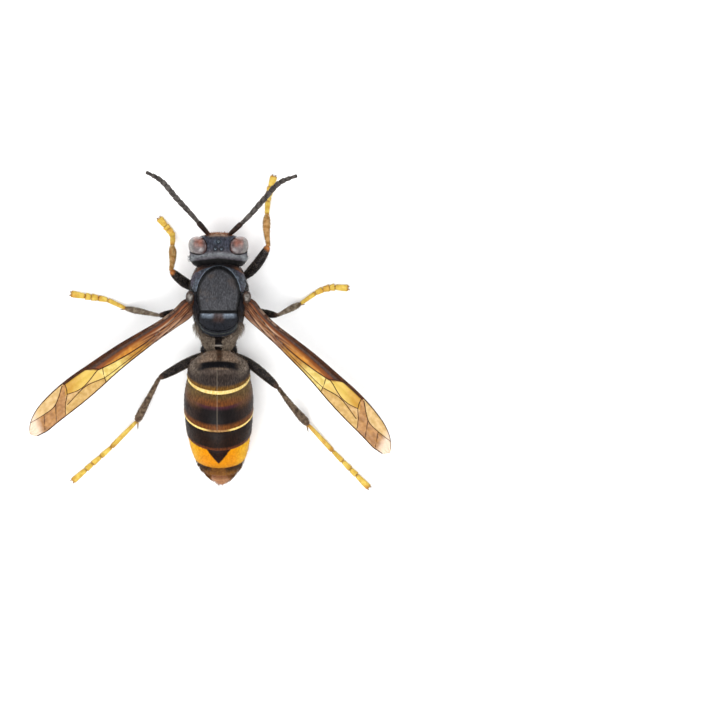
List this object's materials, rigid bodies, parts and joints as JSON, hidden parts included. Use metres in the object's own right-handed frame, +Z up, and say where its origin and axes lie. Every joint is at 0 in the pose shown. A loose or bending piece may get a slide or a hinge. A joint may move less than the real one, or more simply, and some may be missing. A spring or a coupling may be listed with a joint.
{
  "type": "yellow-legged hornet queen, life-size model",
  "caption": "Winged hornet standing on its feet with half-open folded wings, banded abdomen, dark thorax and yellow feet.",
  "frame": {"origin": "on the floor under the middle of the whole animal's box, legs, wings and feelers included", "axes": "+X to the animal's right, across its spread wings; +Y the way it faces; +Z up from the floor"},
  "size_m": [0.0434, 0.0388, 0.0096],
  "materials": {
    "black_cuticle": "black shell with a soft satin shine and fine pits",
    "velvet_cuticle": "velvety black back with a blue-grey bloom",
    "brown_cuticle": "dark brown shell with a silky shine",
    "banded_cuticle": "brown shell with an orange-brown band and a pale yellow hind edge",
    "gold_cuticle": "golden orange shell with a black triangle at its front",
    "orange_cuticle": "orange face and jaws, jaws dark at their teeth",
    "feeler": "dark brown, finely downy",
    "tibia": "dark brown with a grey-brown down",
    "yellow_cuticle": "bright yellow with brown claws",
    "eye": "dark red-brown compound eye with fine facets",
    "wing_skin": "thin clear amber skin, smoky along its front, with brown veins",
    "hair": "short dark brown and grey hair"
  },
  "bodies": {
    "root": {"head": "black_cuticle", "clypeus": "orange_cuticle", "eye_left": "eye", "mandible_left": "orange_cuticle", "eye_right": "eye", "mandible_right": "orange_cuticle", "scape_left": "feeler", "flagellum_left": "feeler", "scape_right": "feeler", "flagellum_right": "feeler", "neck": "black_cuticle", "pronotum": "black_cuticle", "mesoscutum": "velvet_cuticle", "scutellum": "velvet_cuticle", "metanotum": "velvet_cuticle", "thorax": "black_cuticle", "propodeum": "black_cuticle", "abdomen_1": "brown_cuticle", "abdomen_2": "banded_cuticle", "abdomen_3": "brown_cuticle", "abdomen_4": "gold_cuticle", "abdomen_5": "brown_cuticle", "abdomen_6": "banded_cuticle", "forewing_left": "wing_skin", "hindwing_left": "wing_skin", "tegula_left": "brown_cuticle", "forewing_right": "wing_skin", "hindwing_right": "wing_skin", "tegula_right": "brown_cuticle", "fore_left_coxa": "black_cuticle", "fore_left_femur": "black_cuticle", "fore_left_tibia": "tibia", "fore_left_tarsus": "yellow_cuticle", "fore_right_coxa": "black_cuticle", "fore_right_femur": "black_cuticle", "fore_right_tibia": "tibia", "fore_right_tarsus": "yellow_cuticle", "mid_left_coxa": "black_cuticle", "mid_left_femur": "black_cuticle", "mid_left_tibia": "tibia", "mid_left_tarsus": "yellow_cuticle", "mid_right_coxa": "black_cuticle", "mid_right_femur": "black_cuticle", "mid_right_tibia": "tibia", "mid_right_tarsus": "yellow_cuticle", "hind_left_coxa": "black_cuticle", "hind_left_femur": "black_cuticle", "hind_left_tibia": "tibia", "hind_left_tarsus": "yellow_cuticle", "hind_right_coxa": "black_cuticle", "hind_right_femur": "black_cuticle", "hind_right_tibia": "tibia", "hind_right_tarsus": "yellow_cuticle"}
  },
  "joints": []
}
